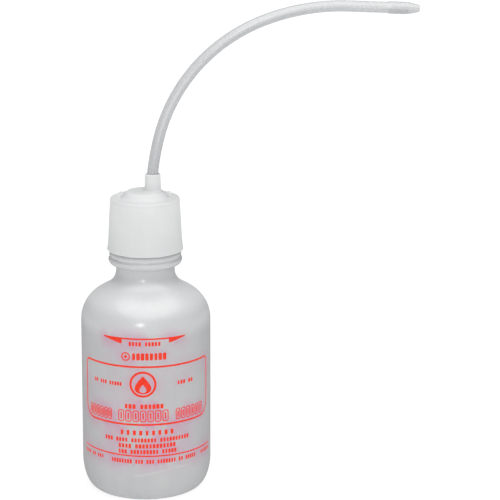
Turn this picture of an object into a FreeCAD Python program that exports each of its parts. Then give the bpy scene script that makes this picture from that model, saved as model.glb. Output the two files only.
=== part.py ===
import FreeCAD, Part
import Sketcher
import math
import os

# Polyethylene squeeze wash bottle, millimetres, +Z up.
# Origin: centre of the base on the plane the bottle stands on. The spout points to +X.

V = FreeCAD.Vector
doc = FreeCAD.newDocument("WashBottle")

# ---------------------------------------------------------------------------
# Driving dimensions
# ---------------------------------------------------------------------------
SIZES = [
    # bottle body
    ("body_radius", 39.5, "outer radius of the cylindrical wall"),
    ("wall_body", 1.0, "wall of the body"),
    ("wall_base", 1.3, "thickness of the base"),
    ("heel_inset", 8.4, "radial size of the rounded heel"),
    ("heel_height", 18.4, "height of the rounded heel"),
    ("foot_inner", 24.0, "inner radius of the flat foot ring"),
    ("base_rise", 2.6, "push-up of the base at the axis"),
    ("shoulder_start", 105.9, "height where the shoulder leaves the wall"),
    ("shoulder_radius", 21.6, "convex radius of the shoulder"),
    ("shoulder_sweep", 60.2, "degrees turned by the shoulder arcs"),
    ("shoulder_flat", 6.05, "straight run between the two shoulder arcs"),
    ("throat_radius", 11.2, "concave radius into the neck"),
    ("throat_wall", 1.1, "wall at the concave arc"),
    # collar under the cap
    ("collar_low", 140.4, "height where the collar leaves the neck"),
    ("collar_wide", 143.4, "height where the collar reaches full radius"),
    ("collar_radius", 22.35, "outer radius of the lower bead"),
    ("collar_round", 3.7, "radius under the lower bead"),
    ("bead_top", 144.7, "top of the lower bead"),
    ("bead_round", 1.0, "radius over the lower bead"),
    ("groove_radius", 21.25, "radius at the floor of the groove"),
    ("groove_top", 145.3, "top of the groove"),
    ("ring_radius", 21.8, "outer radius of the upper ring"),
    ("ring_top", 148.3, "top of the upper ring"),
    ("ring_bevel", 0.4, "bevel on the upper ring"),
    ("recess_radius", 20.2, "radius of the step behind the cap's skirt"),
    ("recess_top", 152.0, "top of that step"),
    # threaded neck
    ("neck_bore", 16.1, "bore radius of the neck"),
    ("bore_start", 143.5, "height where the bore becomes straight"),
    ("neck_root", 17.55, "radius at the root of the neck thread"),
    ("neck_crest", 18.85, "radius at the crest of the neck thread"),
    ("rim_height", 178.4, "height of the neck rim"),
    ("rim_bevel", 0.4, "bevel of the neck rim"),
    ("screw_pitch", 4.2333, "lead of the single-start thread"),
    ("screw_turns", 1.5, "turns of thread on neck and cap"),
    ("screw_base", 1.0, "half width of a thread at its root"),
    ("screw_tip", 0.45, "half width of a thread at its crest"),
    ("neck_screw_low", 167.3, "height where the neck thread starts"),
    ("cap_screw_drop", 2.25, "cap thread below neck thread"),
    # screw cap
    ("skirt_low", 149.4, "bottom of the cap skirt"),
    ("skirt_flare", 23.07, "radius of the flared skirt edge"),
    ("skirt_edge", 149.9, "height of the widest skirt edge"),
    ("skirt_waist", 22.6, "radius just above the flare"),
    ("skirt_waist_z", 152.4, "height just above the flare"),
    ("cap_mid", 22.2, "radius at the middle of the side"),
    ("cap_mid_z", 158.0, "height of the middle of the side"),
    ("cap_top", 181.5, "height of the top edge"),
    ("cap_top_radius", 21.0, "radius at the top edge"),
    ("cap_edge", 1.3, "rounding of the top edge"),
    ("disc_radius", 11.2, "radius of the raised disc on the top"),
    ("disc_foot", 14.6, "radius at the foot of the raised disc"),
    ("disc_high", 185.4, "height of the rim of the raised disc"),
    ("disc_crown", 185.7, "height of the raised disc at the axis"),
    ("deck_under", 179.6, "underside of the top"),
    ("cap_bore", 19.15, "inside radius of the cap at the thread"),
    ("cap_bore_low", 163.2, "height where the inside starts to widen"),
    ("cap_mouth", 20.6, "inside radius at the skirt"),
    ("cap_mouth_z", 157.5, "height where the inside reaches full width"),
    ("cap_crest", 17.8, "radius at the crest of the cap thread"),
    # spout boss and dip tube spigot on one offset axis
    ("boss_offset", 4.8, "distance of the boss axis from the cap axis"),
    ("boss_top", 196.0, "height of the boss"),
    ("boss_radius", 4.7, "radius of the boss at its top"),
    ("boss_foot", 4.92, "radius of the boss at its foot"),
    ("boss_round", 0.9, "rounding of the boss mouth"),
    ("boss_fillet", 0.9, "fillet at the foot of the boss"),
    ("socket_radius", 3.36, "bore of the boss that takes the spout"),
    ("socket_floor", 184.0, "floor of that bore"),
    ("mouth_flare", 0.3, "lead-in of the boss mouth, radial"),
    ("mouth_depth", 0.9, "lead-in of the boss mouth, depth"),
    ("web_bore", 2.15, "bore of the web between the two tubes"),
    ("spigot_low", 165.0, "bottom of the spigot"),
    ("spigot_radius", 5.2, "outer radius of the spigot"),
    ("spigot_web", 181.4, "floor of the spigot bore"),
    # raised marks on the top
    ("lug_inner", 16.1, "inner radius of a raised mark"),
    ("lug_outer", 18.6, "outer radius of a raised mark"),
    ("lug_angle", 31.0, "middle angle of the first mark from +X"),
    ("lug_half", 5.5, "half angle of a mark"),
    ("lug_high", 1.6, "height of a mark above the top"),
    # sealing ring
    ("seal_inner", 13.0, "inner radius of the sealing ring"),
    ("seal_outer", 18.9, "outer radius of the sealing ring"),
    # tubing
    ("tube_outer", 3.3, "outer radius of the tubing"),
    ("tube_inner", 2.15, "inner radius of the tubing"),
    ("spout_low", 184.2, "lower end of the spout"),
    ("spout_rise", 10.8, "straight stretch inside the boss"),
    ("bend_one", 31.0, "first bend radius"),
    ("turn_one", 7.4, "first bend angle"),
    ("bend_two", 160.0, "second bend radius"),
    ("turn_two", 7.2, "second bend angle"),
    ("bend_three", 102.0, "third bend radius"),
    ("turn_three", 54.1, "third bend angle"),
    ("bend_four", 126.5, "fourth bend radius"),
    ("turn_four", 23.4, "fourth bend angle"),
    ("spout_run", 22.3, "straight run before the tip"),
    # spout tip and flame arrester
    ("tip_swell", 2.5, "length of the swelling"),
    ("tip_radius", 3.7, "radius over the sleeve"),
    ("tip_even", 9.5, "where the tip starts to taper"),
    ("tip_curve", 46.0, "radius of the tapering curve"),
    ("tip_length", 19.9, "length of the tip"),
    ("tip_end", 1.95, "outer radius at the outlet"),
    ("jet_radius", 1.1, "bore of the outlet"),
    ("jet_throat", 1.35, "bore where the outlet starts"),
    ("seat_start", 2.9, "start of the sleeve seat"),
    ("sleeve_length", 11.7, "length of the sleeve"),
    ("sleeve_outer", 2.6, "outer radius of the sleeve"),
    ("sleeve_inner", 2.2, "inner radius of the sleeve"),
    ("jet_start", 15.4, "where the outlet bore starts"),
    ("screen_thick", 0.5, "thickness of a screen"),
    ("mesh_side", 0.42, "side of a mesh opening"),
    ("mesh_step", 0.72, "spacing of mesh openings"),
    # dip tube
    ("dip_rise", 18.4, "straight stretch below the web"),
    ("dip_bend", 70.0, "bend radius under the spigot"),
    ("dip_turn", 12.0, "bend angle under the spigot"),
    ("dip_sweep", 1300.0, "radius of the long return curve"),
    ("dip_back", 6.4, "angle of the long return curve"),
    ("dip_bevel", 35.0, "bevel of the lower end, degrees"),
]

sheet = doc.addObject("Spreadsheet::Sheet", "Sizes")
sheet.Label = "Sizes"
for row, (alias, value, note) in enumerate(SIZES, start=1):
    sheet.set("A%d" % row, alias)
    sheet.set("B%d" % row, "%g" % value)
    sheet.set("C%d" % row, note)
    sheet.setAlias("B%d" % row, alias)
doc.recompute()

NAMES = sorted((a for a, _, _ in SIZES), key=len, reverse=True)


def q(expression):
    """Prefix every alias of the sheet in a short formula."""
    out, word = "", ""
    for ch in expression + " ":
        if ch.isalpha() or ch == "_":
            word += ch
            continue
        out += ("Sizes." + word) if word in NAMES else word
        word = ""
        out += ch
    return out.strip()


def num(expression):
    value = sheet.evalExpression(q(expression))
    return float(getattr(value, "Value", value))


def plane(body, role):
    for feature in body.Origin.OriginFeatures:
        if feature.Role == role:
            return feature
    raise RuntimeError("no plane " + role)


def new_body(label):
    body = doc.addObject("PartDesign::Body", label.title().replace("_", ""))
    body.Label = label
    return body


def new_sketch(body, name, role, height=None):
    sketch = body.newObject("Sketcher::SketchObject", name)
    sketch.AttachmentSupport = [(plane(body, role), "")]
    sketch.MapMode = "FlatFace"
    if height is not None:
        sketch.setExpression("AttachmentOffset.Base.z", q(height))
    return sketch


def bind(sketch, kind, items, expression):
    """Add one driving dimension and bind it to a formula of the sheet."""
    value = num(expression)
    if kind in ("Angle",):
        index = sketch.addConstraint(
            Sketcher.Constraint(kind, *items, math.radians(value))
        )
    else:
        index = sketch.addConstraint(Sketcher.Constraint(kind, *items, value))
    name = "dim_%d" % index
    sketch.renameConstraint(index, name)
    if kind == "Angle":
        sketch.setExpression("Constraints." + name, "(" + q(expression) + ") * 1 deg")
    else:
        sketch.setExpression("Constraints." + name, q(expression))


def pin(sketch, geo, pos, x, y):
    """Hold one point of the sketch at two formulas."""
    for axis, expression in (("X", x), ("Y", y)):
        if abs(num(expression)) < 1e-9:
            sketch.addConstraint(
                Sketcher.Constraint("PointOnObject", geo, pos, -2 if axis == "X" else -1)
            )
        elif num(expression) > 0:
            bind(sketch, "Distance" + axis, (-1, 1, geo, pos), expression)
        else:
            bind(sketch, "Distance" + axis, (geo, pos, -1, 1), "-(" + expression + ")")


def arc_through(a, b, radius, side):
    """Arc from a to b. side = +1 has its centre to the left of the way from a to b."""
    mid = (a + b) * 0.5
    chord = b - a
    half = chord.Length / 2.0
    lift = math.sqrt(max(radius * radius - half * half, 0.0))
    left = V(-chord.y, chord.x, 0).normalize()
    centre = mid + left * (lift * side)
    a0 = math.atan2(a.y - centre.y, a.x - centre.x)
    a1 = math.atan2(b.y - centre.y, b.x - centre.x)
    circle = Part.Circle(centre, V(0, 0, 1), radius)
    # sketch arcs run counter-clockwise: left-hand centre means a is the start
    if side > 0:
        return Part.ArcOfCircle(circle, a0, a1 if a1 > a0 else a1 + 2 * math.pi), 1, 2
    return Part.ArcOfCircle(circle, a1, a0 if a0 > a1 else a0 + 2 * math.pi), 2, 1


def outline(sketch, start, steps):
    """Closed section. A step is (x, y) for a line, (x, y, radius, side) for an arc,
    or (x, y, "ellipse", centre_x, centre_y) for a quarter of an ellipse."""
    points = [start] + [(s[0], s[1]) for s in steps]
    places = [V(num(px), num(py), 0) for px, py in points]
    ends = []
    for i, step in enumerate(steps):
        a, b = places[i], places[i + 1]
        if len(step) == 2:
            geo = sketch.addGeometry(Part.LineSegment(a, b), False)
            ends.append((geo, 1, 2))
        elif step[2] == "ellipse":
            cx, cy = num(step[3]), num(step[4])
            centre = V(cx, cy, 0)
            tall = abs(a.y - b.y)
            wide = abs(a.x - b.x)
            ell = Part.Ellipse(V(cx, cy + tall, 0), V(cx - wide, cy, 0), centre)
            u_a, u_b = ell.parameter(a), ell.parameter(b)
            forward = (u_b - u_a) % (2 * math.pi) < math.pi
            if forward:
                lo, hi = u_a, u_a + (u_b - u_a) % (2 * math.pi)
            else:
                lo, hi = u_b, u_b + (u_a - u_b) % (2 * math.pi)
            geo = sketch.addGeometry(Part.ArcOfEllipse(ell, lo, hi), False)
            sketch.exposeInternalGeometry(geo)
            ends.append((geo, 1, 2) if forward else (geo, 2, 1))
            pin(sketch, geo, 3, step[3], step[4])
            # its axes and foci are construction only, and the tall one stays upright
            upright = None
            for other in range(geo + 1, len(sketch.Geometry)):
                item = sketch.Geometry[other]
                if not isinstance(item, Part.LineSegment):
                    continue
                sketch.setConstruction(other, True)
                if abs(item.StartPoint.x - item.EndPoint.x) < 1e-6:
                    upright = other
            sketch.addConstraint(Sketcher.Constraint("Vertical", upright))
        else:
            arc, first, last = arc_through(a, b, num(step[2]), step[3])
            geo = sketch.addGeometry(arc, False)
            ends.append((geo, first, last))
    for i, step in enumerate(steps):
        geo, first, last = ends[i]
        nxt = ends[(i + 1) % len(ends)]
        sketch.addConstraint(
            Sketcher.Constraint("Coincident", geo, last, nxt[0], nxt[1])
        )
        pin(sketch, geo, last, step[0], step[1])
        if len(step) == 4:
            bind(sketch, "Radius", (geo,), step[2])


def axis_line(sketch, x):
    """Upright construction line, used as the axis of an offset revolution."""
    px = num(x)
    geo = sketch.addGeometry(Part.LineSegment(V(px, 0, 0), V(px, 10, 0)), True)
    bind(sketch, "DistanceX", (-1, 1, geo, 1), x)
    sketch.addConstraint(Sketcher.Constraint("PointOnObject", geo, 1, -1))
    sketch.addConstraint(Sketcher.Constraint("Vertical", geo))
    bind(sketch, "DistanceY", (geo, 1, geo, 2), "10")


def revolve(body, kind, name, sketch, axis):
    feature = body.newObject("PartDesign::" + kind, name)
    feature.Profile = sketch
    feature.ReferenceAxis = axis
    feature.Angle = 360.0
    return feature


def helix(body, name, sketch, height_role="Z_Axis"):
    feature = body.newObject("PartDesign::AdditiveHelix", name)
    feature.Profile = sketch
    feature.ReferenceAxis = (plane(body, height_role), [""])
    feature.Mode = "pitch-turns-angle"
    feature.setExpression("Pitch", q("screw_pitch"))
    feature.setExpression("Turns", q("screw_turns"))
    feature.Angle = 0
    feature.Growth = 0
    feature.LeftHanded = False
    feature.Reversed = False
    return feature


def path(sketch, start, heading, moves):
    """Open tangent chain. A move is ("run", length) or ("turn", radius, degrees, side),
    side +1 turning left. Every length, radius and angle is bound to the sheet."""
    x, y = num(start[0]), num(start[1])
    h = math.radians(heading)
    previous = None
    for move in moves:
        if move[0] == "run":
            length = num(move[1])
            b = V(x + length * math.cos(h), y + length * math.sin(h), 0)
            geo = sketch.addGeometry(Part.LineSegment(V(x, y, 0), b), False)
            first, last = 1, 2
            bind(sketch, "Distance", (geo,), move[1])
        else:
            radius, turn, side = num(move[1]), math.radians(num(move[2])), move[3]
            centre = V(x - side * radius * math.sin(h), y + side * radius * math.cos(h), 0)
            a0 = math.atan2(y - centre.y, x - centre.x)
            circle = Part.Circle(centre, V(0, 0, 1), radius)
            if side > 0:
                arc = Part.ArcOfCircle(circle, a0, a0 + turn)
                first, last = 1, 2
            else:
                arc = Part.ArcOfCircle(circle, a0 - turn, a0)
                first, last = 2, 1
            geo = sketch.addGeometry(arc, False)
            b = V(
                centre.x + radius * math.cos(a0 + side * turn),
                centre.y + radius * math.sin(a0 + side * turn),
                0,
            )
            h += side * turn
            bind(sketch, "Radius", (geo,), move[1])
            bind(sketch, "Angle", (geo,), move[2])
        if previous is None:
            pin(sketch, geo, first, start[0], start[1])
            if move[0] == "run":
                sketch.addConstraint(Sketcher.Constraint("Vertical", geo))
        else:
            sketch.addConstraint(
                Sketcher.Constraint("Tangent", previous[0], previous[1], geo, first)
            )
        previous = (geo, last)
        x, y = b.x, b.y
    return x, y, math.degrees(h)


def ring(sketch, x, outer, inner):
    """Two concentric circles: the wall of a tube."""
    for radius in (outer, inner):
        geo = sketch.addGeometry(
            Part.Circle(V(num(x), 0, 0), V(0, 0, 1), num(radius)), False
        )
        pin(sketch, geo, 3, x, "0")
        bind(sketch, "Radius", (geo,), radius)


# ---------------------------------------------------------------------------
# Bottle: blow-moulded shell with push-up base, heel, shoulder, collar and threaded neck
# ---------------------------------------------------------------------------
bottle = new_body("bottle")
SX = "(body_radius - shoulder_radius*(1-cos(shoulder_sweep)))"
SZ = "(shoulder_start + shoulder_radius*sin(shoulder_sweep))"
LX = "(" + SX + " - shoulder_flat*sin(shoulder_sweep))"
LZ = "(" + SZ + " + shoulder_flat*cos(shoulder_sweep))"
NR = "(" + LX + " - throat_radius*(1-cos(shoulder_sweep)))"
NZ = "(" + LZ + " + throat_radius*sin(shoulder_sweep))"
DOME = "((foot_inner*foot_inner + base_rise*base_rise)/(2*base_rise))"
# inner curves are offsets of the outer ones
IX = "(" + SX + " - wall_body*cos(shoulder_sweep))"
IZ = "(" + SZ + " - wall_body*sin(shoulder_sweep))"
JX = "(" + LX + " - throat_wall*cos(shoulder_sweep))"
JZ = "(" + LZ + " - throat_wall*sin(shoulder_sweep))"
KR = "(" + NR + " - throat_wall)"

section = new_sketch(bottle, "ShellSection", "XZ_Plane")
outline(
    section,
    ("0", "base_rise"),
    [
        ("foot_inner", "0", DOME, -1),
        ("body_radius - heel_inset", "0"),
        ("body_radius", "heel_height", "ellipse", "body_radius - heel_inset", "heel_height"),
        ("body_radius", "shoulder_start"),
        (SX, SZ, "shoulder_radius", 1),
        (LX, LZ),
        (NR, NZ, "throat_radius", -1),
        (NR, "collar_low"),
        ("collar_radius", "collar_wide", "collar_round", 1),
        ("collar_radius", "bead_top - bead_round"),
        ("collar_radius - bead_round", "bead_top", "bead_round", 1),
        ("groove_radius", "bead_top"),
        ("groove_radius", "groove_top"),
        ("ring_radius", "groove_top"),
        ("ring_radius", "ring_top - ring_bevel"),
        ("ring_radius - ring_bevel", "ring_top"),
        ("recess_radius", "ring_top"),
        ("recess_radius", "recess_top"),
        ("neck_root", "recess_top"),
        ("neck_root", "rim_height - rim_bevel"),
        ("neck_root - rim_bevel", "rim_height"),
        ("neck_bore", "rim_height"),
        ("neck_bore", "bore_start"),
        (KR, NZ),
        (JX, JZ, "throat_radius + throat_wall", 1),
        (IX, IZ),
        ("body_radius - wall_body", "shoulder_start", "shoulder_radius - wall_body", -1),
        ("body_radius - wall_body", "heel_height"),
        (
            "body_radius - heel_inset",
            "wall_base",
            "ellipse",
            "body_radius - heel_inset",
            "heel_height",
        ),
        ("foot_inner", "wall_base"),
        ("0", "base_rise + wall_base", DOME, 1),
        ("0", "base_rise"),
    ],
)
revolve(bottle, "Revolution", "Shell", section, (section, ["V_Axis"]))

thread = new_sketch(bottle, "NeckThreadSection", "XZ_Plane")
outline(
    thread,
    ("neck_root - 0.3", "neck_screw_low - screw_base"),
    [
        ("neck_root", "neck_screw_low - screw_base"),
        ("neck_crest", "neck_screw_low - screw_tip"),
        ("neck_crest", "neck_screw_low + screw_tip"),
        ("neck_root", "neck_screw_low + screw_base"),
        ("neck_root - 0.3", "neck_screw_low + screw_base"),
        ("neck_root - 0.3", "neck_screw_low - screw_base"),
    ],
)
helix(bottle, "NeckThread", thread)
doc.recompute()

# ---------------------------------------------------------------------------
# Screw cap: drafted side with flared skirt, raised disc, offset boss and spigot
# ---------------------------------------------------------------------------
cap = new_body("screw_cap")
CROWN = (
    "((disc_radius*disc_radius + (disc_crown-disc_high)*(disc_crown-disc_high))"
    "/(2*(disc_crown-disc_high)))"
)
section = new_sketch(cap, "CapSection", "XZ_Plane")
outline(
    section,
    ("0", "deck_under"),
    [
        ("cap_bore", "deck_under"),
        ("cap_bore", "cap_bore_low"),
        ("cap_mouth", "cap_mouth_z"),
        ("cap_mouth", "skirt_low"),
        ("skirt_flare - 0.5", "skirt_low"),
        ("skirt_flare", "skirt_edge"),
        ("skirt_waist", "skirt_waist_z"),
        ("cap_mid", "cap_mid_z"),
        ("cap_top_radius", "cap_top - cap_edge"),
        ("cap_top_radius - cap_edge", "cap_top", "cap_edge", 1),
        ("disc_foot", "cap_top"),
        ("disc_radius", "disc_high"),
        ("0", "disc_crown", CROWN, 1),
        ("0", "deck_under"),
    ],
)
revolve(cap, "Revolution", "CapShell", section, (section, ["V_Axis"]))

post = new_sketch(cap, "PostSection", "XZ_Plane")
axis_line(post, "boss_offset")
outline(
    post,
    ("boss_offset", "spigot_low"),
    [
        ("boss_offset + spigot_radius - 0.6", "spigot_low"),
        ("boss_offset + spigot_radius", "spigot_low + 0.6"),
        ("boss_offset + spigot_radius", "cap_top"),
        ("boss_offset + boss_foot + boss_fillet", "disc_high - 0.2"),
        ("boss_offset + boss_foot", "disc_high - 0.2 + boss_fillet", "boss_fillet", -1),
        ("boss_offset + boss_radius", "boss_top - boss_round"),
        ("boss_offset + boss_radius - boss_round", "boss_top", "boss_round", 1),
        ("boss_offset", "boss_top"),
        ("boss_offset", "spigot_low"),
    ],
)
revolve(cap, "Revolution", "Post", post, (post, ["Axis0"]))

bores = new_sketch(cap, "BoreSection", "XZ_Plane")
axis_line(bores, "boss_offset")
outline(
    bores,
    ("boss_offset", "spigot_low - 1"),
    [
        ("boss_offset + tube_outer", "spigot_low - 1"),
        ("boss_offset + tube_outer", "spigot_web"),
        ("boss_offset + web_bore", "spigot_web"),
        ("boss_offset + web_bore", "socket_floor"),
        ("boss_offset + socket_radius", "socket_floor"),
        ("boss_offset + socket_radius", "boss_top - mouth_depth"),
        ("boss_offset + socket_radius + mouth_flare", "boss_top"),
        ("boss_offset + socket_radius + mouth_flare", "boss_top + 1"),
        ("boss_offset", "boss_top + 1"),
        ("boss_offset", "spigot_low - 1"),
    ],
)
revolve(cap, "Groove", "Bores", bores, (bores, ["Axis0"]))
doc.recompute()

thread = new_sketch(cap, "CapThreadSection", "XZ_Plane")
LOW = "(neck_screw_low - cap_screw_drop)"
outline(
    thread,
    ("cap_bore + 0.3", LOW + " - screw_base"),
    [
        ("cap_bore + 0.3", LOW + " + screw_base"),
        ("cap_bore", LOW + " + screw_base"),
        ("cap_crest", LOW + " + screw_tip"),
        ("cap_crest", LOW + " - screw_tip"),
        ("cap_bore", LOW + " - screw_base"),
        ("cap_bore + 0.3", LOW + " - screw_base"),
    ],
)
helix(cap, "CapThread", thread)
doc.recompute()

# two low raised marks near the rear edge of the top, mirrored about the plane x = 0
mark = new_sketch(cap, "MarkSection", "XY_Plane", "cap_top - 0.3")
A0, A1 = "(lug_angle - lug_half)", "(lug_angle + lug_half)"
outline(
    mark,
    ("lug_inner*cos" + A0, "lug_inner*sin" + A0),
    [
        ("lug_outer*cos" + A0, "lug_outer*sin" + A0),
        ("lug_outer*cos" + A1, "lug_outer*sin" + A1, "lug_outer", 1),
        ("lug_inner*cos" + A1, "lug_inner*sin" + A1),
        ("lug_inner*cos" + A0, "lug_inner*sin" + A0, "lug_inner", -1),
    ],
)
mark_pad = cap.newObject("PartDesign::Pad", "Mark")
mark_pad.Profile = mark
mark_pad.setExpression("Length", q("lug_high + 0.3"))
mark_pad.TaperAngle = -6.0
doc.recompute()
marks = cap.newObject("PartDesign::MultiTransform", "Marks")
marks.Originals = [mark_pad]
mirror = cap.newObject("PartDesign::Mirrored", "MirrorX")
mirror.MirrorPlane = (plane(cap, "YZ_Plane"), [""])
marks.Transformations = [mirror]
cap.Tip = marks
doc.recompute()

# ---------------------------------------------------------------------------
# Sealing ring between the neck rim and the underside of the cap
# ---------------------------------------------------------------------------
liner = new_body("cap_liner")
section = new_sketch(liner, "RingSection", "XY_Plane", "rim_height")
ring(section, "0", "seal_outer", "seal_inner")
ring_pad = liner.newObject("PartDesign::Pad", "Ring")
ring_pad.Profile = section
ring_pad.setExpression("Length", q("deck_under - rim_height"))

# ---------------------------------------------------------------------------
# Delivery tube: hollow, pre-formed in an arc, with a swollen and tapered tip
# ---------------------------------------------------------------------------
spout = new_body("delivery_tube")
spine = new_sketch(spout, "SpoutLine", "XZ_Plane")
tip_x, tip_z, tip_deg = path(
    spine,
    ("boss_offset", "spout_low"),
    90.0,
    [
        ("run", "spout_rise"),
        ("turn", "bend_one", "turn_one", -1),
        ("turn", "bend_two", "turn_two", -1),
        ("turn", "bend_three", "turn_three", -1),
        ("turn", "bend_four", "turn_four", -1),
        ("run", "spout_run"),
    ],
)
section = new_sketch(spout, "SpoutSection", "XY_Plane", "spout_low")
ring(section, "boss_offset", "tube_outer", "tube_inner")
pipe = spout.newObject("PartDesign::AdditivePipe", "SpoutPipe")
pipe.Profile = section
pipe.Spine = spine
pipe.Mode = "Standard"
doc.recompute()

# end point and heading of the line as formulas, so that the tip follows the bends
H = ["90"]
PX, PZ = "boss_offset", "(spout_low + spout_rise)"
for bend in ("one", "two", "three", "four"):
    before = H[-1]
    after = "(%s - turn_%s)" % (before, bend)
    PX = "(%s + bend_%s*(sin(%s) - sin(%s)))" % (PX, bend, before, after)
    PZ = "(%s + bend_%s*(cos(%s) - cos(%s)))" % (PZ, bend, after, before)
    H.append(after)
TURN = H[-1]
EX = "(%s + spout_run*cos(%s))" % (PX, TURN)
EZ = "(%s + spout_run*sin(%s))" % (PZ, TURN)


def tip(u, w):
    """A point u along the tip and w away from its axis."""
    return (
        "%s + (%s)*cos(%s) - (%s)*sin(%s)" % (EX, u, TURN, w, TURN),
        "%s + (%s)*sin(%s) + (%s)*cos(%s)" % (EZ, u, TURN, w, TURN),
    )


def tip_axis(sketch):
    a, b = tip("0", "0"), tip("tip_length", "0")
    pa, pb = (V(num(p[0]), num(p[1]), 0) for p in (a, b))
    geo = sketch.addGeometry(Part.LineSegment(pa, pb), True)
    pin(sketch, geo, 1, *a)
    pin(sketch, geo, 2, *b)


section = new_sketch(spout, "TipSection", "XZ_Plane")
tip_axis(section)
outline(
    section,
    tip("-0.02", "tube_inner"),
    [
        tip("seat_start", "tube_inner"),
        tip("seat_start", "sleeve_outer"),
        tip("seat_start + sleeve_length", "sleeve_outer"),
        tip("jet_start", "jet_throat"),
        tip("tip_length", "jet_radius"),
        tip("tip_length", "tip_end - 0.25"),
        tip("tip_length - 0.25", "tip_end"),
        tip("tip_even", "tip_radius") + ("tip_curve", 1),
        tip("tip_swell", "tip_radius"),
        tip("-0.02", "tube_outer"),
        tip("-0.02", "tube_inner"),
    ],
)
revolve(spout, "Revolution", "Tip", section, (section, ["Axis0"]))
doc.recompute()

# ---------------------------------------------------------------------------
# Flame arrester: metal sleeve with a mesh screen at each end
# ---------------------------------------------------------------------------
sleeve = new_body("arrester_sleeve")
section = new_sketch(sleeve, "SleeveSection", "XZ_Plane")
tip_axis(section)
outline(
    section,
    tip("seat_start", "sleeve_inner"),
    [
        tip("seat_start + sleeve_length", "sleeve_inner"),
        tip("seat_start + sleeve_length", "sleeve_outer - 0.15"),
        tip("seat_start + sleeve_length - 0.15", "sleeve_outer"),
        tip("seat_start + 0.15", "sleeve_outer"),
        tip("seat_start", "sleeve_outer - 0.15"),
        tip("seat_start", "sleeve_inner"),
    ],
)
revolve(sleeve, "Revolution", "Sleeve", section, (section, ["Axis0"]))

screens = new_body("arrester_screens")
if "AllowCompound" in screens.PropertiesList:
    screens.AllowCompound = True
section = new_sketch(screens, "ScreenSection", "XZ_Plane")
tip_axis(section)
outline(
    section,
    tip("seat_start + 0.2", "0"),
    [
        tip("seat_start + 0.2 + screen_thick", "0"),
        tip("seat_start + 0.2 + screen_thick", "sleeve_inner"),
        tip("seat_start + 0.2", "sleeve_inner"),
        tip("seat_start + 0.2", "0"),
    ],
)
revolve(screens, "Revolution", "Screen", section, (section, ["Axis0"]))
doc.recompute()
# square openings, drawn on an upright plane and cut along X through the thin disc
holes = new_sketch(screens, "MeshOpenings", "YZ_Plane", EX + " + seat_start - 1")
for i in range(-2, 3):
    for j in range(-2, 3):
        if i * i + j * j > 5:
            continue
        x0 = "(%d*mesh_step - mesh_side/2)" % i
        x1 = "(%d*mesh_step + mesh_side/2)" % i
        mid = "(%s + (seat_start + 0.2 + screen_thick/2)*sin(%s))" % (EZ, TURN)
        z0 = "(%s + %d*mesh_step - mesh_side/2)" % (mid, j)
        z1 = "(%s + %d*mesh_step + mesh_side/2)" % (mid, j)
        outline(holes, (x0, z0), [(x1, z0), (x1, z1), (x0, z1), (x0, z0)])
cut = screens.newObject("PartDesign::Pocket", "Mesh")
cut.Profile = holes
cut.setExpression("Length", "3.0")
cut.Reversed = True
doc.recompute()
one_screen = screens.Shape.Volume
second = screens.newObject("PartDesign::LinearPattern", "SecondScreen")
second.Originals = [screens.getObject("Screen"), cut]
second.Direction = (section, ["Axis0"])
second.Occurrences = 2
second.setExpression("Length", q("sleeve_length - 0.4 - screen_thick"))
screens.Tip = second
doc.recompute()

# ---------------------------------------------------------------------------
# Dip tube: from the spigot down to the corner of the base on the spout's side
# ---------------------------------------------------------------------------
dip = new_body("dip_tube")
spine = new_sketch(dip, "DipLine", "XZ_Plane")
dip_x, dip_z, dip_deg = path(
    spine,
    ("boss_offset", "spigot_web"),
    -90.0,
    [
        ("run", "dip_rise"),
        ("turn", "dip_bend", "dip_turn", 1),
        ("turn", "dip_sweep", "dip_back", -1),
    ],
)
section = new_sketch(dip, "DipSection", "XY_Plane", "spigot_web")
ring(section, "boss_offset", "tube_outer", "tube_inner")
pipe = dip.newObject("PartDesign::AdditivePipe", "DipPipe")
pipe.Profile = section
pipe.Spine = spine
pipe.Mode = "Standard"
doc.recompute()

BX = "(boss_offset + dip_bend*(1-cos(dip_turn)))"
BZ = "(spigot_web - dip_rise - dip_bend*sin(dip_turn))"
CX = "(%s + dip_sweep*(cos(dip_turn - dip_back) - cos(dip_turn)))" % BX
CZ = "(%s - dip_sweep*(sin(dip_turn) - sin(dip_turn - dip_back)))" % BZ
bevel = new_sketch(dip, "BevelSection", "XZ_Plane")
outline(
    bevel,
    (CX + " - 6", CZ + " - 4"),
    [
        (CX + " + 6", CZ + " - 4"),
        (CX + " + 6", CZ + " + 3 + 3*tan(dip_bevel)"),
        (CX + " - 6", CZ + " + 3 - 9*tan(dip_bevel)"),
        (CX + " - 6", CZ + " - 4"),
    ],
)
before = dip.Shape.Volume
cut = dip.newObject("PartDesign::Pocket", "Bevel")
cut.Profile = bevel
cut.Midplane = True
cut.setExpression("Length", "20.0")
doc.recompute()
print("dip tube before/after bevel", round(before, 1), round(dip.Shape.Volume, 1))

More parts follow.
